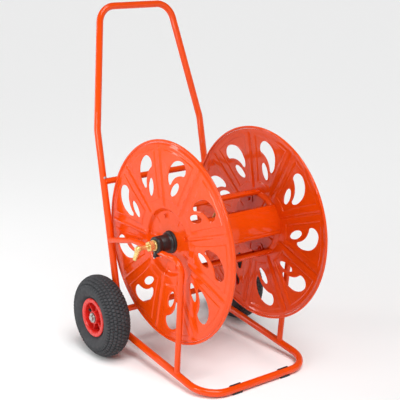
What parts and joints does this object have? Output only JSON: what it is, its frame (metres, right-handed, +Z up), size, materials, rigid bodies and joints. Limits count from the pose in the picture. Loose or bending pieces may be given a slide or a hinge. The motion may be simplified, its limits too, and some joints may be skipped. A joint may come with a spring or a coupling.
{
  "type": "garden hose reel cart",
  "caption": "Wheeled garden hose reel: pressed discs on a strip drum turn in a bent-tube cart with pneumatic tyres, a tall handle loop and a swivelling brass inlet.",
  "frame": {"origin": "centre of the bounding box's bottom face, on the floor midway between the wheels", "axes": "+Z up, +X along the reel's axis away from the water inlet, +Y to the rear, where the wheels and handle are"},
  "size_m": [0.6262, 0.7394, 1.084],
  "materials": {
    "orange_paint": "glossy orange-red powder coat",
    "tyre_rubber": "matt, block tread",
    "black_rubber": "matt",
    "valve_rubber": "matt",
    "rim_plastic": "moulded, satin gloss",
    "bush_plastic": "matt",
    "hub_plastic": "moulded, satin",
    "grip_plastic": "matt",
    "brass": "machined and cast",
    "black_screws": "black oxide",
    "zinc_steel": "zinc plated"
  },
  "bodies": {
    "frame": {"axle_rod": "zinc_steel", "axle_sleeve": "orange_paint", "base_frame": "orange_paint", "foot_left": "black_rubber", "foot_right": "black_rubber", "handle_bar": "orange_paint", "handle_screws": "zinc_steel", "hub_clamp_left": "hub_plastic", "hub_clamp_right": "hub_plastic", "hub_clamp_screws_left": "zinc_steel", "hub_clamp_screws_right": "zinc_steel", "hub_housing_left": "hub_plastic", "hub_housing_right": "hub_plastic", "hub_support_left": "orange_paint", "hub_support_right": "orange_paint", "inlet_collar": "brass", "split_pin_left": "zinc_steel", "split_pin_right": "zinc_steel", "upper_crossbar": "orange_paint", "wheel_spacer_left": "zinc_steel", "wheel_spacer_right": "zinc_steel", "wheel_washer_left": "zinc_steel", "wheel_washer_right": "zinc_steel"},
    "reel": {"crank_arm": "orange_paint", "crank_bolt": "zinc_steel", "crank_grip_cap": "zinc_steel", "drum_bolts_left": "orange_paint", "drum_bolts_right": "orange_paint", "drum_strip_bottom": "orange_paint", "drum_strip_front": "orange_paint", "drum_strip_rear": "orange_paint", "drum_strip_top": "orange_paint", "flange_screws_left": "black_screws", "flange_screws_right": "black_screws", "outlet_branch": "brass", "reel_disc_left": "orange_paint", "reel_disc_right": "orange_paint", "reel_flange_left": "hub_plastic", "reel_flange_right": "hub_plastic", "reel_shaft": "zinc_steel"},
    "inlet": {"inlet_elbow": "brass", "inlet_seal": "black_rubber"},
    "grip": {"crank_grip": "grip_plastic"},
    "wheel_left": {"inner_tube_left": "black_rubber", "tyre_left": "tyre_rubber", "valve_left": "valve_rubber", "wheel_bearings_left": "bush_plastic", "wheel_rim_left": "rim_plastic"},
    "wheel_right": {"inner_tube_right": "black_rubber", "tyre_right": "tyre_rubber", "valve_right": "valve_rubber", "wheel_bearings_right": "bush_plastic", "wheel_rim_right": "rim_plastic"}
  },
  "joints": [
    {"name": "reel_spin", "type": "hinge", "parent": "frame", "child": "reel", "pos_m": [0, -0.06325, 0.412], "axis": [1, 0, 0], "continuous": true},
    {"name": "inlet_swivel", "type": "hinge", "parent": "frame", "child": "inlet", "pos_m": [-0.25, -0.06325, 0.412], "axis": [1, 0, 0], "continuous": true},
    {"name": "crank_grip_spin", "type": "hinge", "parent": "reel", "child": "grip", "pos_m": [0.27, -0.06325, 0.284], "axis": [1, 0, 0], "continuous": true},
    {"name": "wheel_left_spin", "type": "hinge", "parent": "frame", "child": "wheel_left", "pos_m": [-0.2705, 0.15619, 0.13], "axis": [1, 0, 0], "continuous": true},
    {"name": "wheel_right_spin", "type": "hinge", "parent": "frame", "child": "wheel_right", "pos_m": [0.2705, 0.15619, 0.13], "axis": [1, 0, 0], "continuous": true}
  ]
}
